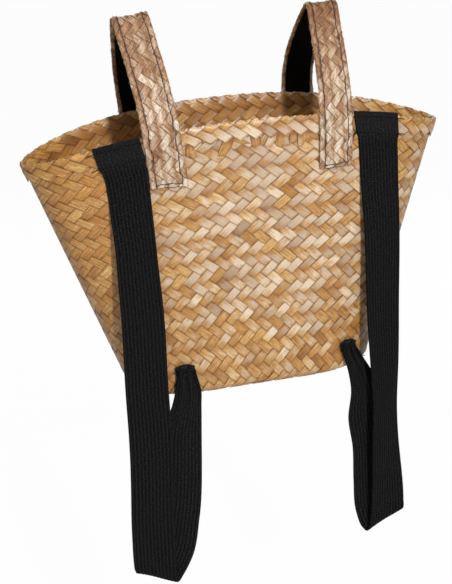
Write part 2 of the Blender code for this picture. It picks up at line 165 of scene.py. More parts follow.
# The camera stands a little left of the front and above the rim, and is turned slightly in its
# own plane, as the photograph was taken.
camera_azimuth = math.radians(-13.0)
camera_elevation = math.radians(19.3)
camera_roll = math.radians(-3.6)
camera_distance = 1403 * mm
camera_target = np.array([-16.4, 0.0, -271.0]) * mm
lens_length = 89.0
sensor_height = 36.0

eye = bpy.data.cameras.new("photo_camera")
eye.sensor_fit = "VERTICAL"
eye.sensor_height = sensor_height
eye.lens = lens_length
camera = bpy.data.objects.new("photo_camera", eye)
bpy.context.scene.collection.objects.link(camera)
back = np.array([
    math.sin(camera_azimuth) * math.cos(camera_elevation),
    -math.cos(camera_azimuth) * math.cos(camera_elevation),
    math.sin(camera_elevation),
])
level_right = np.cross([0, 0, 1], back)
level_right /= np.linalg.norm(level_right)
level_up = np.cross(back, level_right)
right = math.cos(camera_roll) * level_right + math.sin(camera_roll) * level_up
up = np.cross(back, right)
stand = np.eye(4)
stand[:3, 0], stand[:3, 1], stand[:3, 2] = right, up, back
stand[:3, 3] = camera_target + back * camera_distance
camera.matrix_world = Matrix(stand.tolist())
bpy.context.scene.camera = camera
bpy.context.scene.view_settings.view_transform = "Standard"

# The wall is woven of flat dried sedge strands, 8 mm wide, plaited on the slant in a two-over,
# two-under twill. One set climbs to the right and one to the left, each right round the basket,
# and both fold over the rim and down outside it as a hem.

mouth_half_length = 200 * mm
mouth_half_depth = 58 * mm
mouth_powers = (3.4, 1.9)
base_half_length = 120 * mm
base_half_depth = 41 * mm
base_powers = (4.2, 3.2)
basket_height = 267 * mm
rim_droop = 30 * mm
rim_droop_power = 2.2
base_lift = 7 * mm
base_flat_share = 0.5
base_corner_radius = 9 * mm
base_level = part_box("basket_body")[0][2]
hem_fold_height = 1.9 * mm


def outline(half_length, half_depth, powers):
    """Quarter outline from mid-front to the tip, by share of its length, with that length."""
    turn = np.linspace(math.pi / 2, 0, 400)
    along = half_length * np.cos(turn) ** (2 / powers[0])
    across = half_depth * np.sin(turn) ** (2 / powers[1])
    run = np.concatenate([[0], np.cumsum(np.hypot(np.diff(along), np.diff(across)))])
    return run / run[-1], along, across, run[-1]


mouth_outline = outline(mouth_half_length, mouth_half_depth, mouth_powers)
base_outline = outline(base_half_length, base_half_depth, base_powers)


def on_outline(table, share):
    """Place on an outline at this share, from -1 at the left tip to 1 at the right one."""
    along = np.sign(share) * np.interp(np.abs(share), table[0], table[1])
    return along, np.interp(np.abs(share), table[0], table[2])


def rim_height(x):
    """Height of the rim above the base, which droops towards both tips."""
    return basket_height - rim_droop * np.abs(x / mouth_half_length) ** rim_droop_power


def base_height(x):
    """Height of the underside, which lifts towards both ends of the base."""
    past_flat = np.abs(x / base_half_length) - base_flat_share
    return base_lift * (np.maximum(past_flat, 0) / (1 - base_flat_share)) ** 2


def wall_point(side, share, rise):
    """Outer face of the wall: side -1 front or +1 back, share -1 to 1 along it, rise 0 to 1."""
    base_x, base_y = on_outline(base_outline, share)
    mouth_x, mouth_y = on_outline(mouth_outline, share)
    top = rim_height(mouth_x) - hem_fold_height
    x = base_x + (mouth_x - base_x) * rise
    y = base_y + (mouth_y - base_y) * rise
    z = base_height(base_x) + (top - base_height(base_x)) * rise
    return np.stack([x, side * y, base_level + z], axis=-1)


# The weave is laid out on two counts: "turn", strand spacings round the basket from mid-front,
# and "row", strand crossings up the wall. Strands crowd together at the base and spread and lean
# over towards the mouth, so each keeps its width.
strand_width = 8.24 * mm
strands_round = 58
spread_slack = 0.08
rim_row = 47.5
tip_turn = strands_round / 4


def slack(rise):
    """How much closer the strands stand towards the tips than at mid-front, at this height."""
    return spread_slack * (2 * rise - 1)


rise_steps = np.linspace(0, 1, 200)
quarter = base_outline[3] + (mouth_outline[3] - base_outline[3]) * rise_steps
spacing = quarter / tip_turn / (1 + slack(rise_steps))
row_height = strand_width / np.sqrt(1 - (strand_width / spacing) ** 2) / 2
wall_height = basket_height - hem_fold_height
rows_up = np.concatenate([[0], np.cumsum(wall_height * np.diff(rise_steps) / row_height[1:])])
base_row = rim_row - rows_up[-1]


def side_and_share(turn, rise):
    """Which wall a turn count falls on, and its share of that wall's outline."""
    turn = (turn + 2 * tip_turn) % (4 * tip_turn) - 2 * tip_turn
    behind = np.abs(turn) > tip_turn
    share = np.where(behind, 2 * tip_turn - np.abs(turn), np.abs(turn)) / tip_turn
    found = share.copy()
    give = slack(rise)
    for _ in range(6):
        missed = found + give * found * (1 - found**2) - share
        found -= missed / (1 + give * (1 - 3 * found**2))
    return np.where(behind, 1, -1), np.sign(turn) * found


corner_rise = base_corner_radius / basket_height
corner_run = base_corner_radius * math.pi / 2
fold_radius = 1.1 * mm
fold_run = math.pi * fold_radius
wall_middle = 1.2 * mm
floor_middle = 2.6 * mm
strand_thickness = 0.45 * mm


def middle_surface(turn, row):
    """Middle of the strand layer: in under the base, round its corner, up, over and down the hem."""
    rise = np.interp(row, base_row + rows_up, rise_steps)
    side, share = side_and_share(turn, rise)
    edge = wall_point(side, share, corner_rise)
    # Length left below the corner's upper end, and length gone past the top edge
    below = np.maximum(corner_rise - rise, 0) * wall_height
    below = below + np.maximum(base_row - row, 0) * row_height[0]
    past = np.maximum(row - rim_row, 0) * row_height[-1]
    place = wall_point(side, share, np.clip(rise, corner_rise, 1.0))
    # Round the base corner and in under the floor
    quarter_turn = np.clip(below / corner_run, 0, 1) * math.pi / 2
    inward = np.maximum(below - corner_run, 0)
    plan = edge[..., :2] / np.linalg.norm(edge[..., :2], axis=-1, keepdims=True)
    tuck = base_corner_radius * (1 - np.cos(quarter_turn)) + inward
    bottom = base_level + base_height(edge[..., 0] - plan[..., 0] * base_corner_radius)
    cornered = edge.copy()
    cornered[..., :2] -= plan * tuck[..., None]
    cornered[..., 2] -= (edge[..., 2] - bottom) * np.sin(quarter_turn)
    place = np.where((below > 0)[..., None], cornered, place)
    # Over the top edge: the layer turns half round, then runs down outside the wall
    over = np.clip(past / fold_run, 0, 1) * math.pi
    down = np.maximum(past - fold_run, 0)
    return place, over, down, quarter_turn


def layer(turn, row, lift):
    """A point of the strand layer, lifted this far towards the outside of the basket."""
    reach = 0.15
    place, over, down, quarter_turn = middle_surface(turn, row)
    on_wall = np.minimum(row, rim_row)
    ahead = middle_surface(turn + reach, on_wall)[0]
    behind = middle_surface(turn - reach, on_wall)[0]
    above = middle_surface(turn, on_wall)[0]
    under = middle_surface(turn, on_wall - 2 * reach)[0]
    rising = above - under
    rising /= np.linalg.norm(rising, axis=-1, keepdims=True)
    out = np.cross(ahead - behind, rising)
    out /= np.linalg.norm(out, axis=-1, keepdims=True)
    inset = wall_middle + (floor_middle - wall_middle) * np.sin(quarter_turn)
    # lift counts away from the fold's centre once the layer has turned over
    turned = over[..., None]
    centre = place + out * (fold_radius - inset[..., None])
    folded = centre - out * np.cos(turned) * (fold_radius - lift[..., None])
    folded = folded + rising * np.sin(turned) * (fold_radius - lift[..., None])
    folded = folded - rising * down[..., None]
    plain = place + out * (lift - inset)[..., None]
    return np.where((over > 0)[..., None], folded, plain)


over_flat = 0.3 * mm
float_arch = 0.19 * mm
dive_half = 0.22
strand_half = 0.495


def twill_height(count):
    """Height of a strand that lies over crossings 0 and 1 of every four, under 2 and 3."""
    phase = np.mod(count + 0.5, 4.0)
    rising = np.clip((phase + dive_half) / (2 * dive_half), 0, 1)
    falling = np.clip((phase - 2 + dive_half) / (2 * dive_half), 0, 1)
    again = np.clip((phase - 4 + dive_half) / (2 * dive_half), 0, 1)
    step = [part * part * (3 - 2 * part) for part in (rising, falling, again)]
    level = 2 * (step[0] - step[1] + step[2]) - 1
    arch = np.sin(math.pi * np.mod(phase, 2.0) / 2) * level
    return over_flat * level + float_arch * arch, level


def strand_mesh(name, rows, place, tone, columns=3):
    """One strand as a flat grid laid in its place; rows of points across, tone kept per point."""
    bpy.ops.object.select_all(action="DESELECT")
    bpy.ops.mesh.primitive_grid_add(x_subdivisions=columns, y_subdivisions=rows - 1, size=1)
    strand = bpy.context.object
    strand.name = name
    mesh = strand.data
    mesh.vertices.foreach_set("co", place.reshape(-1))
    shade = mesh.attributes.new("strand_tone", "FLOAT_COLOR", "POINT")
    shade.data.foreach_set("color", tone.reshape(-1).astype(np.float32))
    return strand


def lay_uv(mesh, along, across):
    """UVs in millimetres: u along the strand, v across it."""
    grid = mesh.uv_layers[0]
    corner = np.empty(len(mesh.loops), int)
    mesh.loops.foreach_get("vertex_index", corner)
    flat = np.stack(np.broadcast_arrays(along, across), axis=-1).reshape(-1, 2)[corner]
    grid.data.foreach_set("uv", (flat / mm).reshape(-1).astype(np.float32))


def thickened(sheet, thickness):
    """Gives a sheet its thickness, half of it to each side, and smooth faces."""
    solid = sheet.modifiers.new("sheet_thickness", "SOLIDIFY")
    solid.thickness = thickness
    solid.offset = 0
    bpy.ops.object.modifier_apply(modifier=solid.name)
    bpy.ops.object.shade_smooth_by_angle(angle=math.radians(50))


def joined(name, strands, thickness, finish):
    """All strands of one set as one piece, given their thickness and smooth faces."""
    bpy.ops.object.select_all(action="DESELECT")
    for strand in strands:
        strand.select_set(True)
    bpy.context.view_layer.objects.active = strands[0]
    bpy.ops.object.join()
    piece = bpy.context.object
    piece.name = name
    piece.data.materials.clear()
    piece.data.materials.append(finish)
    bpy.ops.object.mode_set(mode="EDIT")
    bpy.ops.mesh.select_all(action="SELECT")
    bpy.ops.mesh.dissolve_degenerate(threshold=0.01 * mm)
    bpy.ops.object.mode_set(mode="OBJECT")
    thickened(piece, thickness)
    return piece


def colour_ramp(tree, value, stops):
    """A colour read off a ramp of hex codes by a value."""
    made = node(tree, "ValToRGB", {"Fac": value})
    marks = made.color_ramp.elements
    while len(marks) < len(stops):
        marks.new(0.5)
    for mark, (position, code) in zip(marks, stops):
        mark.position = position
        mark.color = linear(code)
    return made.outputs["Color"]


def mixed(tree, share, under, over, blend="MIX"):
    """One colour laid over another by a share from 0 to 1."""
    made = node(tree, "Mix", {0: share, 6: under, 7: over}, data_type="RGBA", blend_type=blend)
    return made.outputs[2]


def finished(tree, shader, colour, height, strength, depth=0.3 * mm):
    """Gives a shader its colour and its fine relief."""
    relief = node(tree, "Bump", {"Height": height, "Strength": strength, "Distance": depth})
    tree.links.new(colour, shader.inputs["Base Color"])
    tree.links.new(relief.outputs["Normal"], shader.inputs["Normal"])


def straw_finish(name, ramp, fibre_dark, skin_and_sheen_tints, gloss, edge_tint, edges_shown,
                 scar_tint, scars_shown, grain, mottle, line_from):
    """Dried split stems: colour by strand and by float, long fibres, a waxy skin with painted silvery sheen.
    """
    made, tree, shader = material(name, Roughness=gloss, Specular_IOR_Level=0.5)
    tone = node(tree, "Attribute", attribute_name="strand_tone").outputs
    parts = node(tree, "SeparateColor", {"Color": tone["Color"]}).outputs
    shade, skin_and_sheen, dive_shade = parts["Red"], parts["Green"], parts["Blue"]
    uv = node(tree, "UVMap").outputs["UV"]
    own_place = node(tree, "CombineXYZ", {"Z": tone["Alpha"]}).outputs["Vector"]

    def noise(along, across, detail, roughness=0.5, scale=1.0):
        """Blotches stretched along the strand, different on each strand."""
        laid = node(tree, "Mapping", {"Vector": uv, "Scale": (along, across, 1.0)}).outputs["Vector"]
        spot = node(tree, "VectorMath", {0: laid, 1: own_place}, operation="ADD").outputs[0]
        inputs = {"Vector": spot, "Scale": scale, "Detail": detail, "Roughness": roughness}
        return node(tree, "TexNoise", inputs).outputs["Fac"]

    # Fibres: fine lengthwise streaks, about 0.4 mm apart across and 30 mm long
    fibre = noise(0.035, grain, 5.0, scale=2.2)
    colour = colour_ramp(tree, shade, ramp)
    colour = mixed(tree, ranged(tree, fibre, 0.35, 0.72), colour, linear(fibre_dark), "MULTIPLY")
    # Straw that has stayed a warm gold: a skin value below nought
    colour = mixed(tree, ranged(tree, skin_and_sheen, 0.0, -1.0), colour, (1.22, 1.0, 0.68, 1.0), "MULTIPLY")
    # Bleached, greyish patches of skin and painted silvery sheen, stronger on some floats than on others
    cloud = noise(0.11, 0.25, 3.0)
    bleach_and_sheen_share = ranged(tree, maths(tree, "MULTIPLY", cloud, skin_and_sheen), 0.22, 0.52, 0.0, 0.75)
    skin_and_sheen_colour = colour_ramp(tree, shade, list(zip((0.3, 0.8), skin_and_sheen_tints)))
    colour = mixed(tree, bleach_and_sheen_share, colour, skin_and_sheen_colour)
    # Rusty flecks and scars, a few millimetres long, thickest where the skin is worn off
    scars = maths(tree, "MULTIPLY_ADD", skin_and_sheen, -0.12, noise(0.3, 0.75, 4.0, 0.7))
    colour = mixed(tree, ranged(tree, scars, 0.44, 0.54, 0.0, scars_shown), colour, linear(scar_tint))
    # Painted shade: where a strand dives under the next one it is painted brown
    colour = mixed(tree, dive_shade, colour, linear("#a36a30"), "MULTIPLY")
    # The two cut edges of each strand are a fine dark line, plainer in some places than in others
    width = maths(tree, "ABSOLUTE", node(tree, "SeparateXYZ", {"Vector": uv}).outputs["Y"])
    ragged = maths(tree, "MULTIPLY_ADD", fibre, 0.5, width)
    line = ranged(tree, ragged, line_from, 4.3, 0.0, ranged(tree, cloud, 0.62, 0.38, *edges_shown))
    colour = mixed(tree, line, colour, linear(edge_tint), "MULTIPLY")
    # Fine mottling, about a millimetre across
    light = ranged(tree, noise(0.55, 0.9, 4.0, 0.7), 0.36, 0.62, 1 - mottle, 1 + 0.4 * mottle)
    mottled = node(tree, "VectorMath", {0: colour, "Scale": light}, operation="SCALE").outputs[0]
    finished(tree, shader, mottled, fibre, 0.35)
    return made


sedge = straw_finish(
    "dried_sedge_strand",
    [(0.0, "#2c1e12"), (0.12, "#86582a"), (0.3, "#b0803d"), (0.5, "#c99c55"), (0.75, "#d8b26f"),
     (1.0, "#e9cd92")],
    fibre_dark="#b3864c",
    skin_and_sheen_tints=("#a5907a", "#dbcab6"),
    gloss=0.36,
    edge_tint="#4e2608",
    edges_shown=(0.25, 1.0),
    scar_tint="#8c5c2c",
    scars_shown=0.4,
    grain=0.6,
    mottle=0.14,
    line_from=3.78,
)

chance = np.random.default_rng(11)


def strand_tones(base, counts, level, lean=0.0, skin_and_sheen=0.62):
    """Colour numbers per point: shade by strand and float, skin with painted sheen, painted shade in the
    dives, own place.
    """
    floats = np.floor((counts + 0.5) / 2).astype(int)
    floats -= floats.min()
    number = floats.max() + 1
    part = np.mod(counts + 0.5, 2) / 2
    # One float in 25 stands out pale and one in 50 dark
    odd = chance.uniform(size=number)
    odd_shade = np.where(odd > 0.96, 0.34, 0.0) - np.where(odd < 0.02, 0.24, 0.0)
    # Each float is also painted lighter towards one end and darker towards the other, by lean, as painted
    # light and shade
    shade = base + (chance.normal(0, 0.09, number) + odd_shade)[floats] + lean * (part - 0.5)
    # A painted highlight: the skin shows most on the crown of each float
    bleach_and_sheen = skin_and_sheen * np.clip(chance.normal(1, 0.3, number), 0, 1.8)[floats]
    bleach_and_sheen = bleach_and_sheen * (0.6 + 0.63 * np.exp(-(((part - 0.5 - lean * 0.8) / 0.3) ** 2)))
    # Painted shade, deepest where the strand dives furthest under the next one
    dive_shade = np.clip(1 - np.abs(level), 0, 1) * 0.85
    tone = np.stack([np.clip(shade, 0, 1), bleach_and_sheen, dive_shade + 0 * shade, 0 * shade], axis=-1)
    tone[..., 3] = chance.uniform(0, 40)
    return tone


across_shares = np.array([-1.0, -0.6, 0.6, 1.0])
dive_offsets = np.array([-0.22, -0.08, 0.08, 0.22])
crossing_length = 1.02 * strand_width
crown = 0.1 * mm
lowest_row = base_row - 1.4
hem_rows = 3.6
fold_rows = rim_row + np.linspace(0, 1.0, 7) * fold_run / row_height[-1]


def wall_tone(place, level, along, past_fold, climb):
    """Colour numbers of one wall strand, which follow its place on the basket."""
    x, up_wall = place[..., 0], place[..., 2] - base_level
    base_shade = np.clip(chance.normal(0.55, 0.095), 0.1, 0.95)
    # A painted sheen: the skin is painted palest across the middle of the front and plainer towards the ends
    # and base
    from_middle = x - 10 * mm
    painted_sheen = np.exp(-((from_middle / np.where(from_middle > 0, 190 * mm, 125 * mm)) ** 2))
    inside = (place[..., 1] > 0) & (level < 0) & ~past_fold
    painted_sheen = np.where(inside, 0.7, 0.35 + 0.73 * painted_sheen)
    painted_sheen = painted_sheen * np.interp(up_wall, [0, 120 * mm], [0.45, 1.0])
    # The two sets take different painted sheen and painted light and shade along their floats
    lean, skin_and_sheen = (0.22, 0.95) if climb > 0 else (-0.16, 0.75)
    tone = strand_tones(base_shade, along + 0.5, np.where(past_fold, -level, level), lean, skin_and_sheen * painted_sheen)
    # Towards the left end, and inside the back wall, the straw is a warmer gold with less of the painted
    # sheen; inside the back wall it is also painted darker, as painted shade
    golden = np.clip((-x - 95 * mm) / (35 * mm), 0, 1) * chance.uniform(0.2, 1.0)
    golden = np.where(inside, 0.35, golden)
    tone[..., 0] += 0.05 * golden - 0.22 * inside
    # Darker towards the base; the right end is painted lighter, as painted light
    tone[..., 0] -= np.interp(up_wall, [0, 110 * mm], [0.08, 0])
    tone[..., 0] += 0.07 * np.clip((x - 100 * mm) / (40 * mm), 0, 1)
    tone[..., 0] = np.clip(tone[..., 0], 0.14, 1)
    tone[..., 1] -= (0.6 + tone[..., 1]) * golden
    return tone


def wall_strands(climb):
    """All strands that climb one way: climb +1 to the right, -1 to the left."""
    strands = []
    # Rows along a strand, close together where it passes under or over the next one
    rows = np.arange(math.floor(lowest_row) - 1, math.ceil(rim_row + hem_rows) + 1)
    rows = (rows[:, None] + np.append(dive_offsets, 0.5)[None, :]).reshape(-1)
    rows = np.unique(np.concatenate([rows, fold_rows]).round(4))
    rows = rows[(rows > lowest_row) & (rows < rim_row + hem_rows)]
    for index in range(strands_round):
        half = strand_half * (1 + 0.03 * chance.normal())
        shift = 0.02 * chance.normal()
        wander = shift + 0.025 * np.sin(rows / 3.1 + chance.uniform(0, 6.3))
        off = across_shares[None, :] * half + wander[:, None]
        along = rows[:, None] + 0 * off
        turn = index + climb * (along - off - rim_row) / 2
        height, level = twill_height(along + 0.5 if climb > 0 else along - 1.5)
        height = height + crown * (0.5 - across_shares[None, :] ** 2)
        # The floats lie flatter round the fold at the rim
        height = height * (1 - 0.35 * np.exp(-(((along - rim_row - 0.4) / 0.9) ** 2)))
        place = layer(turn, along + off, height)
        tone = wall_tone(place, level, along, along > rim_row, climb)
        strand = strand_mesh("strand", len(rows), place, tone)
        lay_uv(strand.data, along * crossing_length, across_shares * strand_width / 2)
        strands.append(strand)
    return strands


for name, climb in (("wall_strands_rightward", 1), ("wall_strands_leftward", -1)):
    piece = joined(name, wall_strands(climb), strand_thickness, sedge)
    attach(piece, "basket")
    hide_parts("basket_body", "rim_hem")


def hem_tucks():
    """Ends of strands tucked under the hem's lower edge, each a short rough loop that dives in."""
    tucks = []
    along = np.linspace(0, 1, 9)
    rise = np.interp(along, [0, 0.3, 0.5, 0.8, 1], [1.2, 1.9, 1.7, 0.7, -0.6]) * mm
    level = np.interp(along, [0, 0.35, 0.75, 1], [-0.3, 1, 1, 0])[:, None]
    doming = 0.35 * mm * (1 - across_shares[None, :] ** 2)
    for index in range(2 * strands_round):
        if chance.uniform() < 0.3:
            continue
        drop = 1.7 + 0.5 * chance.normal()
        half = (0.3 + 0.06 * chance.normal()) * (1 - 0.35 * along**3)
        slant = 0.45 * chance.normal()
        turn = index / 2 + 0.1 * chance.normal() + slant * (along[:, None] - 0.5)
        row = rim_row - hem_rows + 0.9 - along * (drop + 0.9)
        off = across_shares[None, :] * half[:, None]
        roll = chance.normal(0, 0.35) * mm * across_shares[None, :]
        place = layer(turn + off, row[:, None] + 0.35 * slant * off, rise[:, None] + roll + doming)
        # They show most at mid-front, and not at all on the back wall
        x, y = place[len(along) // 2, 1, :2]
        middle = math.exp(-((x / (90 * mm)) ** 2)) * (y < 0)
        if middle < chance.uniform(0, 0.6):
            continue
        # The tucks' skin carries the same painted sheen, strongest at mid-front
        tone = strand_tones(np.clip(chance.normal(0.5, 0.15), 0.14, 1), 1.5 * along[:, None] + 0 * off - 0.4,
                            level, 0.0, chance.uniform(0.3, 1.0) * middle)
        tuck = strand_mesh("tuck", len(along), place, tone)
        lay_uv(tuck.data, along[:, None] * 14 * mm, across_shares * strand_width / 2)
        tucks.append(tuck)
    return tucks


tucked = joined("hem_tucks", hem_tucks(), strand_thickness, sedge)
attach(tucked, "basket")
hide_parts("rim_hem")

# The base is the same sedge twill laid flat. Its strands run out to the corner on the slant, and
# the wall's strands turn in above them.

base_pitch = 11.25 * mm
base_slope = math.tan(math.radians(47))
mat_inset = 5.5 * mm
mat_level = 1.0 * mm


def mat_strands(lean):
    """Strands of the base that lean one way, each cut where it meets the base's outline."""
    strands = []
    reach = int((base_half_length + base_half_depth) / base_pitch) + 1
    steps = np.arange(-40, 40, 0.25) + 0.5
    all_counts = steps + 0.07 * np.sin(2 * math.pi * steps)
    off = across_shares[None, :] * strand_half * base_pitch
    for index in range(-reach, reach + 1):
        y = all_counts * base_pitch * base_slope / 2
        x = index * base_pitch + lean * y / base_slope
        width = np.interp(np.abs(x), base_outline[1], base_outline[2]) - mat_inset
        inside = (np.abs(x) < base_half_length - mat_inset) & (np.abs(y) < width)
        if inside.sum() < 4:
            continue
        counts = all_counts[inside]
        height, level = twill_height(lean * counts + 2 * index + (0 if lean > 0 else 2))
        shifted = x[inside, None] + off
        along = counts[:, None] + 0 * off
        z = base_level + base_height(shifted) + mat_level - height[:, None] * 0.8
        place = np.stack([shifted, y[inside, None] + 0 * off, z], axis=-1)
        base_shade = np.clip(chance.normal(0.5, 0.15), 0.1, 0.95)
        tone = strand_tones(base_shade, along, level[:, None])
        strand = strand_mesh("strand", len(counts), place, tone)
        lay_uv(strand.data, along * strand_width, off * 0.75)
        strands.append(strand)
    return strands


for name, lean in (("base_strands_rightward", 1), ("base_strands_leftward", -1)):
    piece = joined(name, mat_strands(lean), strand_thickness, sedge)
    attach(piece, "basket")
    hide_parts("basket_body")

# Each carry handle is one strip from low on the front wall, over the mouth, to low on the back
# wall. It is a plaited palm band with rolled edges, lined inside with black webbing, sewn along
# both edges and sewn down at both ends.

handle_offset = 81 * mm
handle_tab_drop = 53 * mm
# How each handle departs from the plain arch: leant and set over sideways, crown bowed outwards,
# crown lowered, strip tipped across the crown, and its width low down and above against the plain one
handle_lean = {"left": 0.105, "right": 0.0}
handle_set = {"left": 1.2 * mm, "right": 1.2 * mm}
handle_bow = {"left": 0.0, "right": 8 * mm}
handle_sag = {"left": -0.012, "right": 0.036}
handle_tip = {"left": 0.085, "right": 0.03}
handle_narrowing = {"left": (1.02, 1.02), "right": (0.95, 0.89)}
hem_drop = 18 * mm
seat_gap = 0.3 * mm
over_hem = 2.2 * mm
layer_ramp = 8 * mm
handle_rim = base_level + float(rim_height(handle_offset))
arch_foot = handle_rim + seat_gap
tab_foot = handle_rim - handle_tab_drop


def wall_at(side, x, z):
    """Point of the wall's outer face that has this x and z, found by halving."""
    x, z = np.broadcast_arrays(np.asarray(x, float), np.asarray(z, float))
    low, high = np.full(x.shape, -1.0), np.full(x.shape, 1.0)
    for _ in range(30):
        share = (low + high) / 2
        foot, head = wall_point(side, share, 0.0), wall_point(side, share, 1.0)
        rise = (z - foot[..., 2]) / (head[..., 2] - foot[..., 2])
        found = foot[..., 0] + (head[..., 0] - foot[..., 0]) * rise
        low, high = np.where(found < x, share, low), np.where(found < x, high, share)
    return foot + (head - foot) * rise[..., None]


def off_wall(side, x, z, stand_off):
    """Point that stands this far off the wall's outer face, square to it."""
    probe = 0.5 * mm
    place = wall_at(side, x, z)
    sideways = wall_at(side, x + probe, z) - wall_at(side, x - probe, z)
    upward = wall_at(side, x, z + probe) - wall_at(side, x, z - probe)
    normal = np.cross(sideways, upward)
    normal /= np.linalg.norm(normal, axis=-1, keepdims=True)
    normal *= np.sign(normal[..., 1:2]) * side
    return place + normal * np.asarray(stand_off, float)[..., None]


def over_the_hem(x, z):
    """Stand-off of a strip's inner face: over the hem above, flat on the wall below it."""
    hem_foot = base_level + rim_height(x) - hem_drop - 3.2 * mm
    ramp = np.clip((z - hem_foot) / layer_ramp + 1, 0, 1)
    return seat_gap + (over_hem - seat_gap) * ramp


half_span = abs(float(wall_at(-1, handle_offset, arch_foot)[1])) + over_hem
arch_pinch = 0.68
handle_middle = {"left": -handle_offset, "right": handle_offset}


def arch_side(turn):
    """How far the arch's legs stand out at this turn: they lean in towards the crown."""
    return -half_span * np.cos(turn) * (1 - arch_pinch * np.sin(turn) ** 2)


arch_turn = np.linspace(0, math.pi, 400)
arch_steps = np.hypot(np.diff(arch_side(arch_turn)), np.diff(-arch_foot * np.sin(arch_turn)))
arch_run = np.concatenate([[0], np.cumsum(arch_steps)])
tab_length = arch_foot - tab_foot
handle_length = 2 * tab_length + arch_run[-1]


def on_handle(which, run, across, stand_off):
    """Point of a handle: this far along it from the front foot, off its middle line, and outwards."""
    run, across = np.broadcast_arrays(np.asarray(run, float), np.asarray(across, float))
    stand_off = np.broadcast_to(np.asarray(stand_off, float), run.shape)
    mirrored = np.minimum(run, handle_length - run)
    across = across * np.interp(mirrored / (handle_length / 2), [0.3, 0.8], handle_narrowing[which])
    centre = handle_middle[which] + handle_set[which]
    x = centre + across
    turn = np.interp(run - tab_length, arch_run, arch_turn)
    y = arch_side(turn)
    z = arch_foot - arch_foot * np.sin(turn)
    # The arch's own outward direction, and the slant that it takes from the curved wall at its feet
    pinch = 1 - arch_pinch * np.sin(turn) ** 2 + 2 * arch_pinch * np.cos(turn) ** 2
    normal_y, normal_z = arch_foot * np.cos(turn), half_span * np.sin(turn) * pinch
    length = np.hypot(normal_y, normal_z)
    lean_in = wall_at(1, x, arch_foot)[..., 1] - wall_at(1, centre, arch_foot)[..., 1]
    y = y + np.sign(y) * lean_in * (1 - np.sin(turn))
    place = np.stack([x, y + stand_off * normal_y / length, z + stand_off * normal_z / length], axis=-1)
    # The sewn ends lie on the wall
    sewn = mirrored < tab_length
    tab_z = np.minimum(tab_foot + mirrored, arch_foot)
    base = over_the_hem(x, tab_z) + stand_off
    for side, chosen in ((-1, sewn & (run < handle_length / 2)), (1, sewn & (run > handle_length / 2))):
        if chosen.any():
            place[chosen] = off_wall(side, x[chosen], tab_z[chosen], base[chosen])
    above = place[..., 2] - handle_rim
    climbed = np.clip(above / -handle_rim, 0, 1)
    place[..., 0] += handle_bow[which] * climbed**2 - handle_lean[which] * above
    place[..., 2] += climbed * (handle_tip[which] * across + handle_sag[which] * handle_rim * climbed)
    return place


plait_pitch = 9.8 * mm
plait_row = 5.4 * mm
plait_strand = 0.22 * mm
plait_end = 3 * mm

# Half cross-section of the plait: flat to the stitching, then over, round and under its rolled
# edge to the side of the lining; across and outwards, in mm
plait_section = np.array([
    (0, 2.5), (10.6, 2.5), (11.6, 2.7), (12.6, 3.35), (13.8, 3.8), (15.0, 3.65), (16.0, 2.95), (16.5, 2.0),
    (16.1, 1.0), (15.2, 0.45), (14.0, 0.3), (13.1, 0.3),
]) * mm
section_run = np.concatenate([[0], np.cumsum(np.hypot(*np.diff(plait_section, axis=0).T))])


def on_section(reach, lift):
    """Across and outwards position this far along the plait's cross-section, lifted off it."""
    probe = 0.3 * mm
    run = np.minimum(np.abs(reach), section_run[-1] - probe)
    here, ahead, behind = (
        np.stack([np.interp(run + step, section_run, plait_section[:, axis]) for axis in (0, 1)])
        for step in (0, probe, -probe)
    )
    along = ahead - behind
    along = along / np.hypot(along[0], along[1])
    across = here[0] - along[1] * lift
    return np.sign(reach) * across, here[1] + along[0] * lift


palm = straw_finish(
    "plaited_palm_strip",
    [(0.0, "#6a3b18"), (0.2, "#915f30"), (0.5, "#b08050"), (0.8, "#c9a374"), (1.0, "#e4cba8")],
    fibre_dark="#7a5230",
    skin_and_sheen_tints=("#b08a62", "#e9d8c2"),
    gloss=0.55,
    edge_tint="#1c0f08",
    edges_shown=(0.9, 1.0),
    scar_tint="#7a451f",
    scars_shown=0.7,
    grain=0.42,
    mottle=0.4,
    line_from=3.5,
)
# Shade of the plait at the sewn ends and at the crown, which handling has worn brown, and its skin
worn_shade = {"left": (0.68, 0.52), "right": (0.76, 0.42)}


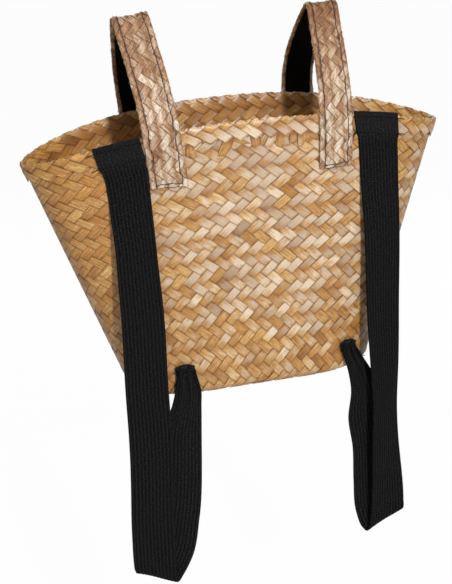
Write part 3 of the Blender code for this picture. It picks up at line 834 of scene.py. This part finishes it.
def plait_strands(which, climb):
    """Strands of one handle's plait that climb one way, from edge to edge of the strip."""
    strands = []
    # Crossings along a strand, close together at each dive and round the rolled edges
    last = section_run[-1] / (plait_pitch / 2)
    counts = (np.arange(-5, 5)[:, None] + 0.5 + dive_offsets[None, :]).reshape(-1)
    rolled = np.arange(2.15, last, 0.22)
    counts = np.unique(np.concatenate([counts, rolled, -rolled]).round(3))
    counts = np.concatenate([[-last], counts[np.abs(counts) < last - 0.05], [last]])[:, None]
    lane = across_shares[None, :] * strand_half
    reach = counts * plait_pitch / 2 + 0 * lane
    for index in range(-4, int(handle_length / plait_row) // 2 + 5):
        run = (2 * (index + lane) + climb * counts) * plait_row
        height, level = twill_height(2 * index + climb * counts + (0 if climb > 0 else 2) + 0 * lane)
        clipped = np.clip(run, plait_end, handle_length - plait_end)
        if (clipped == run).sum() < 6:
            continue
        wrinkle = 0.2 * mm * np.sin(run / (7.3 * mm) + 2 * np.sin(reach / (5 * mm)))
        across, outwards = on_section(reach, height * 0.35 + wrinkle)
        place = on_handle(which, clipped, across, outwards)
        from_foot = np.minimum(clipped, handle_length - clipped)
        worn = np.interp(from_foot, [30 * mm, 150 * mm], worn_shade[which])
        tone = strand_tones(worn + 0.1 * chance.normal(), counts + 0 * run, np.clip(3 * level + 2.2, -1, 1),
                            0.0, np.interp(worn, [0.3, 0.7], [0.2, 0.85]))
        strand = strand_mesh("strand", len(counts), place, tone)
        lay_uv(strand.data, reach * 1.6 + 40 * mm * index, lane * strand_width)
        strands.append(strand)
    return strands


def strip_mesh(name, finish, runs, shares, place):
    """A long strip as one grid: runs along it, shares across it, in an even tone."""
    tone = np.zeros((*place.shape[:2], 4))
    tone[..., :2] = 0.5
    strip = strand_mesh(name, len(runs), place, tone, columns=len(shares) - 1)
    lay_uv(strip.data, runs[:, None], shares)
    strip.data.materials.append(finish)
    return strip


# A wave texture of scale 1 repeats at this length, and the UVs are in millimetres
wave_length = 0.31416 * mm
yarn_pitch = 1.1 * mm


def webbing_finish(name, colour, rib_colour, rib_pitch):
    """Black cotton webbing: matt, ribbed lengthwise, finely woven across, with specks of lint."""
    made, tree, shader = material(name, Roughness=0.95, Specular_IOR_Level=0.05, Sheen_Weight=0.008)
    uv = node(tree, "UVMap").outputs["UV"]
    ribs = node(tree, "TexWave", {"Vector": uv, "Scale": wave_length / rib_pitch},
                wave_type="BANDS", bands_direction="Y").outputs["Fac"]
    yarn = node(tree, "TexWave", {"Vector": uv, "Scale": wave_length / yarn_pitch, "Distortion": 1.5},
                wave_type="BANDS", bands_direction="X").outputs["Fac"]
    lint = node(tree, "TexNoise", {"Vector": uv, "Scale": 0.9, "Detail": 6.0}).outputs["Fac"]
    # Painted shade: the grooves between the ribs are painted darker, least at the strip's start, where the
    # sewing presses them flat
    run = node(tree, "SeparateXYZ", {"Vector": uv}).outputs["X"]
    groove_shade = maths(tree, "MULTIPLY_ADD", ribs, -1.0, 1.0)
    groove_shade = maths(tree, "MULTIPLY", groove_shade, ranged(tree, run, 18.0, 30.0, 0.1, 0.42))
    amount = maths(tree, "SUBTRACT", ranged(tree, lint, 0.38, 0.66), groove_shade, use_clamp=True)
    cloth = mixed(tree, amount, linear(colour), linear(rib_colour))
    fluff = node(tree, "TexVoronoi", {"Vector": uv, "Scale": 0.07}).outputs["Distance"]
    linted = mixed(tree, ranged(tree, fluff, 0.012, 0.02, 0.7, 0.0), cloth, linear("#8a7a68"))
    finished(tree, shader, linted, maths(tree, "ADD", yarn, lint), 0.5)
    return made


lining_thickness = 1.12 * mm
lining_width = 25 * mm
lining_rib_pitch = 2.2 * mm
black_lining = webbing_finish("black_lining_webbing", "#0a0807", "#14110f", lining_rib_pitch)


def handle_lining(which):
    """The webbing inside a handle, a little shorter than the plait at both ends."""
    runs = np.arange(2 * mm, handle_length - 1 * mm, 2.5 * mm)
    shares = np.linspace(-lining_width / 2, lining_width / 2, 23)
    rib = 0.12 * mm * np.cos(2 * math.pi * shares / lining_rib_pitch)
    place = on_handle(which, runs[:, None], shares[None, :], 0.8 * mm + rib[None, :])
    strip = strip_mesh(f"{which}_handle_webbing", black_lining, runs, shares, place)
    thickened(strip, lining_thickness)
    return strip


def blended_handle(piece):
    """Bakes the piece's placement into its mesh."""
    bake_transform(piece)


def thread_finish(name, dark, light, gloss=0.4):
    """Twisted sewing thread: dark, faintly glossy, lighter where the twist shows."""
    made, tree, shader = material(name, Roughness=0.7, Specular_IOR_Level=gloss)
    place = node(tree, "TexCoord").outputs["Object"]
    twist = node(tree, "TexNoise", {"Vector": place, "Scale": 420.0, "Detail": 2.0}).outputs["Fac"]
    tint = colour_ramp(tree, twist, [(0.35, dark), (0.75, light)])
    finished(tree, shader, tint, twist, 0.4, 0.2 * mm)
    return made


plum_thread = thread_finish("plum_sewing_thread", "#231a22", "#574652")
thread_radius = 0.42 * mm
stitch_length = 4.6 * mm


def stitch_row(name, line, finish, radius=thread_radius, slot="sewing_thread"):
    """Stitches, or loose fibres, as one piece: a thread along each list of points."""
    curve = bpy.data.curves.new(name, "CURVE")
    curve.dimensions = "3D"
    curve.bevel_depth = radius
    curve.bevel_resolution = 1 if slot == "sewing_thread" else 0
    curve.use_fill_caps = True
    for stitch in line:
        spline = curve.splines.new("POLY")
        spline.points.add(len(stitch) - 1)
        for point, place in zip(spline.points, stitch):
            point.co = (*map(float, place), 1)
    row = bpy.data.objects.new(name, curve)
    bpy.context.scene.collection.objects.link(row)
    bpy.ops.object.select_all(action="DESELECT")
    row.select_set(True)
    bpy.context.view_layer.objects.active = row
    bpy.ops.object.convert(target="MESH")
    bpy.ops.object.shade_smooth()
    row = bpy.context.object
    row.data.materials.append(finish)
    return row


# A stitch rises from the strip and sinks in again, by share of its length
stitch_shape = np.linspace(-0.46, 0.46, 7)
stitch_rise = np.cos(math.pi * stitch_shape) ** 0.5 - 0.75
stitch_height = 0.5 * mm * stitch_rise
seam_offset = 11.3 * mm


def handle_stitches(which, edge):
    """The row of stitches along one edge of a handle: edge -1 or +1."""
    line = []
    for start in np.arange(6 * mm, handle_length - 6 * mm, stitch_length):
        runs = start + stitch_shape * stitch_length
        across = edge * seam_offset + 0.35 * mm * chance.normal() + 0.25 * mm * stitch_shape
        line.append(on_handle(which, runs, across, 3.35 * mm + stitch_height))
    return line


def foot_stitches(which, rear):
    """The row of stitches across a sewn end of a handle, at the front or at the rear."""
    line = []
    foot_stitch = stitch_length * 0.9
    for start in np.arange(-10.8 * mm, 11 * mm, foot_stitch):
        across = start + stitch_shape * foot_stitch
        run = 6.2 * mm + 0.4 * mm * chance.normal()
        run = handle_length - run if rear else run
        line.append(on_handle(which, run + 0 * across, across, 3.4 * mm + stitch_height))
    return line


loose_fibre = thread_finish("loose_palm_fibre", "#9a6b42", "#e6d3b8")
fibre_radius = 0.16 * mm
fibre_count = 420


def frayed_fibres(which, count):
    """Short fibres that have split off the plait, thickest along its edges and round its ends."""
    part = np.linspace(0, 1, 4)[None, :]
    edge = chance.choice([-1, 1], (count, 1))
    inset = edge * (18.6 - np.abs(chance.normal(0, 3.2, (count, 1)))) * mm
    start = chance.uniform(4 * mm, handle_length - 4 * mm, (count, 1))
    length = chance.uniform(2, 7, (count, 1)) * mm
    bearing = np.radians(chance.uniform(8, 40, (count, 1)))
    reach = inset + edge * length * np.sin(bearing) * part
    run = start + chance.choice([-1, 1], (count, 1)) * length * np.cos(bearing) * part
    lift = (0.1 + chance.uniform(0.2, 1.2, (count, 1)) * part**1.5) * mm
    across, outwards = on_section(reach, lift)
    run = np.clip(run, 2 * mm, handle_length - 2 * mm)
    along = on_handle(which, run, across, outwards)
    # Broken ends that stick out below each sewn foot
    ends = count // 4
    across = (chance.uniform(-15, 15, (ends, 1)) + chance.normal(0, 1.5, (ends, 1)) * part) * mm
    run = (3.2 - chance.uniform(1, 3.8, (ends, 1)) * part) * mm
    run = np.where(chance.uniform(size=(ends, 1)) < 0.5, handle_length - run, run)
    below = on_handle(which, run, across, (chance.uniform(0.3, 2.6, (ends, 1)) + 0.5 * part) * mm)
    return [*along, *below]


for which in ("left", "right"):
    frayed = stitch_row(f"{which}_handle_loose_fibres", frayed_fibres(which, fibre_count), loose_fibre,
                        fibre_radius, "straw_plait")
    blended_handle(frayed)
    for name, climb in (("rightward", 1), ("leftward", -1)):
        piece = joined(f"{which}_handle_plait_{name}", plait_strands(which, climb), plait_strand, palm)
        blended_handle(piece)
        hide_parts(f"{which}_handle_plait", f"{which}_handle_front_plait_tab",
                    f"{which}_handle_back_plait_tab")
    for name, edge in (("a", -1), ("b", 1)):
        row = stitch_row(f"{which}_handle_stitches_{name}", handle_stitches(which, edge), plum_thread)
        blended_handle(row)
        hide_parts(f"{which}_handle_thread_{name}")
    webbing = handle_lining(which)
    blended_handle(webbing)
    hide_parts(f"{which}_handle_lining", f"{which}_handle_front_lining_tab",
                f"{which}_handle_back_lining_tab")
    for face in ("front", "back"):
        row = stitch_row(f"{which}_handle_{face}_foot_stitches", foot_stitches(which, face == "back"),
                         plum_thread)
        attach(row, "basket")
        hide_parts(f"{which}_handle_{face}_tab_thread")

# Two shoulder straps of 40 mm black cotton webbing hang on the front wall. Each is sewn flat over
# the hem at its top, hangs free past the base, folds back and rises behind its front run to a
# gathered end that is wound and sewn low on the wall.

strap_width = 40 * mm
strap_thickness = 1.9 * mm
rib_pitch = 3.4 * mm
black_webbing = webbing_finish("black_cotton_webbing", "#060607", "#2b2b2c", rib_pitch)
black_thread = thread_finish("black_sewing_thread", "#0a090a", "#161415", 0.05)
strap_thread_radius = 0.38 * mm

# Knots of each strap's middle line below its sewn top: x, y, height above the base, width, the
# slant of its width in the front view and its turn about the upright, in mm and degrees
strap_knots = {
    "left": [
        (-110.8, -55.5, 196, 37, 1, 2), (-110, -57, 160, 37.5, 0, 1), (-110, -58.5, 100, 39.5, 0, -2),
        (-110.7, -58.5, 40, 40, 0, -3), (-111.7, -58, -20, 41, 0, 0), (-113.8, -58.5, -80, 42, -2, 4),
        (-116.7, -58.5, -125, 42.6, -5, 5), (-117.8, -57.5, -162, 43, -14, 3),
        (-117.2, -55.5, -175, 43.5, -20, 2), (-114.8, -51.5, -181, 44.5, -24, 0),
        (-108.6, -47.5, -176, 44.5, -26, 0), (-98.2, -45.5, -160, 44.5, -24, 0),
        (-88.5, -44.5, -120, 43.4, -19, 2), (-82.3, -44, -70, 42, -12, 3), (-77.8, -44, -28, 38.4, -7, 2),
        (-72.5, -44.5, -8, 29, -2, 0), (-70, -45, 8, 25, 0, 0), (-70.5, -45.5, 22, 19, 4, 0),
        (-70.5, -45.6, 29, 16, 6, 0),
    ],
    "right": [
        (126.6, -52.5, 196, 39.3, 0, 15), (126.8, -52.5, 160, 38.9, 0, 14), (125.9, -53, 100, 38.2, 0, 15),
        (125.3, -53.5, 50, 37.3, 0, 19), (125, -54, 10, 36.4, 0, 25), (124.8, -54.5, -35, 37.8, 0, 34),
        (123.6, -55.8, -80, 39.8, 1, 30), (123.3, -57, -120, 40.8, 5, 23), (122.6, -57.5, -146, 41.4, 13, 16),
        (121.3, -58.5, -155.5, 42, 17, 12), (119, -55, -159.5, 42.4, 20, 10),
        (116.3, -51.5, -156.5, 42.2, 20, 9), (112, -49.5, -143, 42, 18, 9), (110, -48.5, -108, 41.5, 8, 10),
        (111, -47, -76, 41, 3, 8), (108.5, -46, -44, 40, 2, 6), (107.5, -45.5, -17, 28, 0, 4),
        (102.5, -45, 3, 23, -6, 4), (95.5, -45, 20, 18, -12, 0), (92.5, -45.2, 29, 14, -12, 0),
    ],
}
sewn_length = 56 * mm
# The sewn top's middle at four drops below its top edge, and half its width at four more: at the
# edge, at the lower stitching, just below that and where it hangs free
sewn_middle_drops = np.array([0, 18, 36, 56]) * mm
strap_sewn_middles = {"left": (-120, -116, -112.2, -111), "right": (121.8, 123.6, 126, 126.8)}
sewn_half_drops = np.array([0, 21, 25, 56]) * mm
strap_sewn_halves = {"left": (20.8, 20.6, 18.9, 18.5), "right": (22, 21.4, 19.9, 19.9)}
strap_stands_up = {"left": 1.4 * mm, "right": 3.2 * mm}
gathered_end = {"left": (-70.5, 8.6), "right": (92, 7.4)}
gathered_level = base_level - 24 * mm
strap_step = 2.5 * mm


def smooth_run(knots, step):
    """A smooth path through knots of any number of values, the first three of them a place."""
    gaps = np.linalg.norm(np.diff(knots[:, :3], axis=0), axis=1)
    at = np.concatenate([[0], np.cumsum(gaps)])
    slopes = np.diff(knots, axis=0) / gaps[:, None]
    ends = np.vstack([slopes[:1], slopes, slopes[-1:]])
    weigh = np.concatenate([[1], gaps, [1]])[:, None]
    tangent = (ends[:-1] * weigh[1:] + ends[1:] * weigh[:-1]) / (weigh[1:] + weigh[:-1])
    runs = np.linspace(0, at[-1], int(at[-1] / step) + 1)
    part = np.clip(np.searchsorted(at, runs, "right") - 1, 0, len(gaps) - 1)
    gap = gaps[part][:, None]
    t = ((runs - at[part]) / gaps[part])[:, None]
    path = (
        (2 * t**3 - 3 * t**2 + 1) * knots[part]
        + (t**3 - 2 * t**2 + t) * gap * tangent[part]
        + (3 * t**2 - 2 * t**3) * knots[part + 1]
        + (t**3 - t**2) * gap * tangent[part + 1]
    )
    return runs, path


def hanging_part(which, shares, rib):
    """The free length of a strap: how far along each row of points is, and where."""
    knots = np.array(strap_knots[which], float)
    knots[:, :4] *= mm
    knots[:, 2] += base_level
    runs, path = smooth_run(knots, strap_step)
    slant, turn = np.radians(path[:, 4]), np.radians(path[:, 5])
    across = np.stack([np.cos(slant) * np.cos(turn), np.cos(slant) * np.sin(turn), np.sin(slant)], axis=-1)
    ahead = np.gradient(path[:, :3], axis=0)
    ahead /= np.linalg.norm(ahead, axis=1, keepdims=True)
    out = np.cross(across, -ahead)
    out /= np.linalg.norm(out, axis=1, keepdims=True)
    # It pleats as it narrows, and waves a little along the rest
    gathered = np.clip(1 - path[:, 3] / (38 * mm), 0, 1)[:, None]
    pleat = gathered * 4.2 * mm * np.cos(2 * math.pi * 2.6 * shares[None, :] + 0.8)
    slow = 0.5 * mm * np.sin(runs[:, None] / (31 * mm) + 5 * shares[None, :])
    wavy = 0.35 * mm * np.sin(runs / (19 * mm) + (2 if which == "left" else 4))
    sideways = (shares[None, :] * path[:, 3, None] + wavy[:, None])[..., None]
    lift = (pleat + slow + rib[None, :])[..., None]
    return runs, path[:, None, :3] + across[:, None, :] * sideways + out[:, None, :] * lift


def sewn_part(which, shares, rib):
    """The sewn top, which lies on the wall from its top edge down to where the strap hangs free."""
    steps = np.arange(0, sewn_length, strap_step)
    middle = np.interp(steps, sewn_middle_drops, np.array(strap_sewn_middles[which]) * mm)
    half = np.interp(steps, sewn_half_drops, np.array(strap_sewn_halves[which]) * mm)
    x = middle[:, None] + 2 * shares[None, :] * half[:, None]
    z = base_level + rim_height(x) + strap_stands_up[which] - steps[:, None]
    ribbed = np.interp(steps, [18 * mm, 30 * mm], [0.2, 1])[:, None] * rib[None, :]
    return steps, off_wall(-1, x, z, over_the_hem(x, z) + strap_thickness / 2 + 0.2 * mm + ribbed)


def strap_strip(which):
    """The whole strap as one ribbed strip, from the hem round its fold to the gathered end."""
    shares = np.linspace(-0.5, 0.5, 61)
    rib = 0.16 * mm * np.cos(2 * math.pi * shares * strap_width / rib_pitch)
    runs, hanging = hanging_part(which, shares, rib)
    steps, sewn = sewn_part(which, shares, rib)
    # Both meet in one strip, eased into each other below the sewing
    ease = np.clip(runs / (40 * mm), 0, 1)
    ease = (1 - ease * ease * (3 - 2 * ease))[:, None, None]
    hanging = hanging + (sewn[-1] + np.array([0, 0, -strap_step]) - hanging[0])[None] * ease
    place = np.concatenate([sewn, hanging])
    whole = np.concatenate([steps, sewn_length + runs])
    # The last, gathered length is a strip of its own
    heights = place[:, len(shares) // 2, 2]
    fold = int(np.argmin(heights))
    cut = fold + int(np.searchsorted(heights[fold:], gathered_level))
    strips = []
    for name, part in (("webbing", slice(0, cut + 1)), ("gathered_webbing", slice(cut, None))):
        strip = strip_mesh(f"{which}_strap_{name}", black_webbing, whole[part], shares * strap_width,
                           place[part])
        thickened(strip, strap_thickness)
        strips.append(strip)
    return *strips, place, whole


def strap_stitches(place, whole, drop):
    """A row of stitches right across a strap's sewn top, this far below its top edge."""
    row = np.array([[np.interp(drop, whole, place[:, column, axis]) for axis in range(3)]
                    for column in range(place.shape[1])])
    line = []
    reach = np.linspace(0, 1, place.shape[1])
    stitch_share = 0.082
    for start in np.arange(0.04, 0.95, stitch_share):
        shares = start + stitch_share * (0.5 + stitch_shape)
        stitch = np.stack([np.interp(shares, reach, row[:, axis]) for axis in range(3)], axis=-1)
        stitch[:, 1] -= 1.05 * mm + 0.4 * mm * stitch_rise
        stitch[:, 2] += 0.5 * mm * chance.normal()
        line.append(stitch)
    # A loose curl of thread at each end of the row, which follows the wall round
    curl = np.linspace(0, 1, 8)
    for corner, way in ((row[0], -1), (row[-1], 1)):
        bend = chance.uniform(-1.6, 1.6)
        tail = np.stack([way * 6.5 * curl, -0.6 - 0.8 * np.sin(math.pi * curl),
                         bend * np.sin(2.4 * curl) - 2.2 * curl**2], axis=-1) * mm
        tail[:, 1] += way * math.tan(math.radians(8)) * tail[:, 0]
        line.append(corner + tail)
    return line


end_stand_off = 3.3 * mm


def gathered_bundle(which, low_x, low_half):
    """The gathered end: a short bundle of folded webbing, closed at its top and bottom."""
    count = np.arange(15)
    heights = base_level + np.linspace(21.5, 35.5, len(count)) * mm
    around = np.linspace(0, 2 * math.pi, 37)
    swell = np.clip(np.minimum(count, count[-1] - count) / 2.0, 0.25, 1)[:, None] ** 0.5
    fold = 1 + 0.13 * np.cos(5 * around[None, :] + 0.25 * count[:, None])
    x = low_x + low_half * swell * fold * np.cos(around)[None, :]
    stand = end_stand_off + 2.9 * mm * swell * fold * np.sin(around)[None, :]
    place = off_wall(-1, x, heights[:, None] + 0 * x, stand)
    end = strip_mesh(f"{which}_strap_gathered_end", black_webbing, heights, around * 2.5 * mm, place)
    bpy.ops.object.mode_set(mode="EDIT")
    bpy.ops.mesh.select_all(action="SELECT")
    bpy.ops.mesh.remove_doubles(threshold=0.02 * mm)
    bpy.ops.mesh.select_all(action="DESELECT")
    bpy.ops.mesh.select_non_manifold()
    bpy.ops.mesh.edge_face_add()
    bpy.ops.mesh.select_all(action="SELECT")
    bpy.ops.mesh.normals_make_consistent(inside=False)
    bpy.ops.object.mode_set(mode="OBJECT")
    bpy.ops.object.shade_smooth_by_angle(angle=math.radians(60))
    return end


def end_winding(low_x, low_half):
    """Four turns of thread over the outside of the gathered end."""
    line = []
    bearing = np.linspace(math.radians(-6), math.radians(186), 11)
    for turn in range(4):
        height = base_level + (25.5 + 2.2 * turn) * mm + 0.5 * mm * chance.normal()
        slope = 1.1 * mm * chance.normal()
        x = low_x + 1.07 * low_half * np.cos(bearing)
        stand = end_stand_off + 3.35 * mm * np.sin(bearing)
        line.append(off_wall(-1, x, height + slope * np.cos(bearing), stand))
    return line


for which in ("left", "right"):
    strap, gathered, place, whole = strap_strip(which)
    low_x, low_half = np.array(gathered_end[which]) * mm
    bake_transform(strap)
    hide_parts(f"{which}_strap_top", f"{which}_strap_loop")
    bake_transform(gathered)
    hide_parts(f"{which}_strap_loop")
    for name, drop in (("upper", 5 * mm), ("lower", 20 * mm)):
        row = stitch_row(f"{which}_strap_{name}_stitches", strap_stitches(place, whole, drop), black_thread,
                         strap_thread_radius)
        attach(row, "basket")
        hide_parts(f"{which}_strap_{name}_thread")
    end = gathered_bundle(which, low_x, low_half)
    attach(end, "basket")
    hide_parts(f"{which}_strap_anchor")
    row = stitch_row(f"{which}_strap_end_stitches", end_winding(low_x, low_half), black_thread, 0.35 * mm)
    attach(row, "basket")
    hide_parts(f"{which}_strap_anchor_thread")
